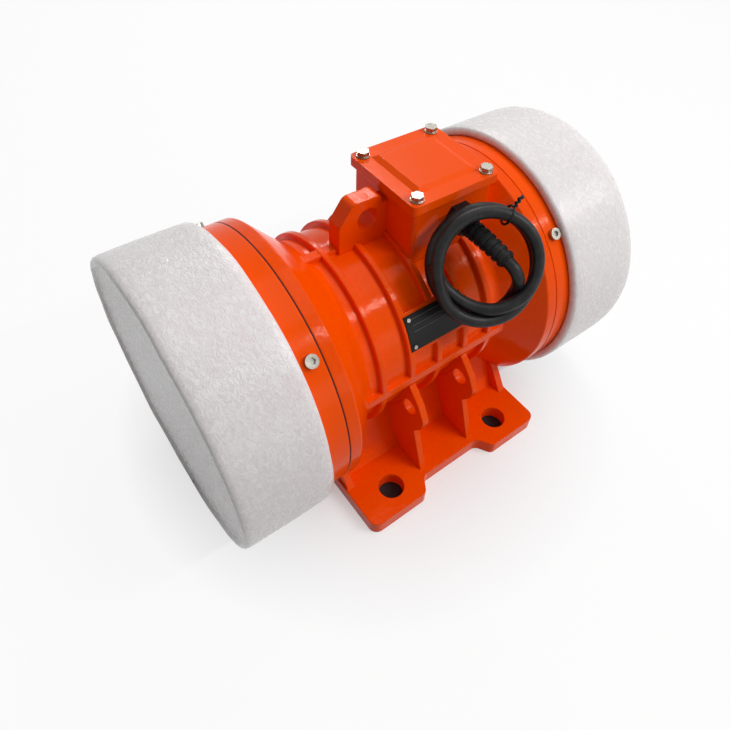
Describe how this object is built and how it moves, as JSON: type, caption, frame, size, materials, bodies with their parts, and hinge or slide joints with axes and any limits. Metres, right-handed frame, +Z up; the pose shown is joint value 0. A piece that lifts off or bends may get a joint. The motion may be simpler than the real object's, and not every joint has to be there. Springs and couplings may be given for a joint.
{
  "type": "vibration motor",
  "caption": "Foot-mounted electric vibration motor with eccentric weights under round end covers, a terminal box and a short coiled cable.",
  "frame": {"origin": "centre of the four foot holes, on the face that bolts down", "axes": "+X along the shaft towards the terminal box end, -Y to the side with the cable gland, +Z up from the feet"},
  "size_m": [0.391, 0.261, 0.2425],
  "materials": {
    "enamelled_iron": "gloss",
    "enamelled_steel": "gloss",
    "lamination_steel": "satin",
    "copper_winding": "gloss",
    "cage_aluminium": "satin",
    "machined_steel": "satin",
    "bearing_steel": "polished",
    "brass": "satin",
    "cast_iron": "matte",
    "weight_steel": "matte",
    "zinc_plated_steel": "satin",
    "black_plastic": "matte",
    "black_rubber": "matte",
    "plate_aluminium": "satin",
    "packing_foam": "matte"
  },
  "bodies": {
    "frame": {"housing": "enamelled_iron", "mounting_feet": "enamelled_iron", "lifting_lug": "enamelled_iron", "terminal_box": "enamelled_iron", "stator_core": "lamination_steel", "stator_winding": "copper_winding", "end_shield_bolts": "zinc_plated_steel", "bearing_cap_bolts": "zinc_plated_steel", "cover_screws": "zinc_plated_steel", "lid_gasket": "black_rubber", "terminal_block": "black_plastic", "terminal_studs": "brass", "gland_body": "black_plastic", "gland_nut": "black_plastic", "bend_sleeve": "black_rubber", "cable_lead": "black_rubber", "cable_coil": "black_rubber", "coil_tie": "black_plastic", "nameplate": "plate_aluminium", "nameplate_rivets": "zinc_plated_steel", "end_shield_left": "cast_iron", "end_shield_right": "cast_iron", "bearing_cap_left": "cast_iron", "bearing_cap_right": "cast_iron", "bearing_outer_left": "bearing_steel", "bearing_outer_right": "bearing_steel", "weight_cover_left": "enamelled_steel", "weight_cover_right": "enamelled_steel", "cover_seal_left": "black_rubber", "cover_seal_right": "black_rubber"},
    "rotor": {"shaft": "machined_steel", "rotor_core": "lamination_steel", "rotor_cage": "cage_aluminium", "shaft_keys": "machined_steel", "fixed_weight_bolts": "zinc_plated_steel", "bearing_inner_left": "bearing_steel", "bearing_inner_right": "bearing_steel", "shaft_spacer_left": "machined_steel", "shaft_spacer_right": "machined_steel", "weight_spacer_left": "machined_steel", "weight_spacer_right": "machined_steel", "fixed_weight_left": "weight_steel", "fixed_weight_right": "weight_steel", "end_washer_left": "machined_steel", "end_washer_right": "machined_steel", "end_bolt_left": "zinc_plated_steel", "end_bolt_right": "zinc_plated_steel"},
    "lid": {"terminal_lid": "enamelled_steel", "lid_screws": "zinc_plated_steel", "lid_washers": "zinc_plated_steel"},
    "rollers_left": {"bearing_rollers_left": "bearing_steel", "roller_cage_left": "brass"},
    "weight_left": {"adjustable_weight_left": "weight_steel", "adjustable_weight_bolt_left": "zinc_plated_steel"},
    "foam_left": {"foam_left": "packing_foam"},
    "rollers_right": {"bearing_rollers_right": "bearing_steel", "roller_cage_right": "brass"},
    "weight_right": {"adjustable_weight_right": "weight_steel", "adjustable_weight_bolt_right": "zinc_plated_steel"},
    "foam_right": {"foam_right": "packing_foam"}
  },
  "joints": [
    {"name": "rotor_spin", "type": "hinge", "parent": "frame", "child": "rotor", "pos_m": [0, 0, 0.112], "axis": [1, 0, 0], "continuous": true},
    {"name": "roller_spin_left", "type": "hinge", "parent": "frame", "child": "rollers_left", "pos_m": [0, 0, 0.112], "axis": [1, 0, 0], "continuous": true},
    {"name": "weight_setting_left", "type": "hinge", "parent": "rotor", "child": "weight_left", "pos_m": [0, 0, 0.112], "axis": [1, 0, 0], "range_deg": [0, 180]},
    {"name": "foam_pull_left", "type": "slide", "parent": "frame", "child": "foam_left", "axis": [-1, 0, 0], "range_m": [0, 0.09]},
    {"name": "roller_spin_right", "type": "hinge", "parent": "frame", "child": "rollers_right", "pos_m": [0, 0, 0.112], "axis": [1, 0, 0], "continuous": true},
    {"name": "weight_setting_right", "type": "hinge", "parent": "rotor", "child": "weight_right", "pos_m": [0, 0, 0.112], "axis": [1, 0, 0], "range_deg": [0, 180]},
    {"name": "foam_pull_right", "type": "slide", "parent": "frame", "child": "foam_right", "axis": [1, 0, 0], "range_m": [0, 0.09]},
    {"name": "lid_lift", "type": "slide", "parent": "frame", "child": "lid", "axis": [0, 0, 1], "range_m": [0, 0.06]}
  ],
  "couplings": [
    {"joint": "roller_spin_left", "follows": "rotor_spin", "ratio": 0.4123},
    {"joint": "roller_spin_right", "follows": "rotor_spin", "ratio": 0.4123}
  ]
}
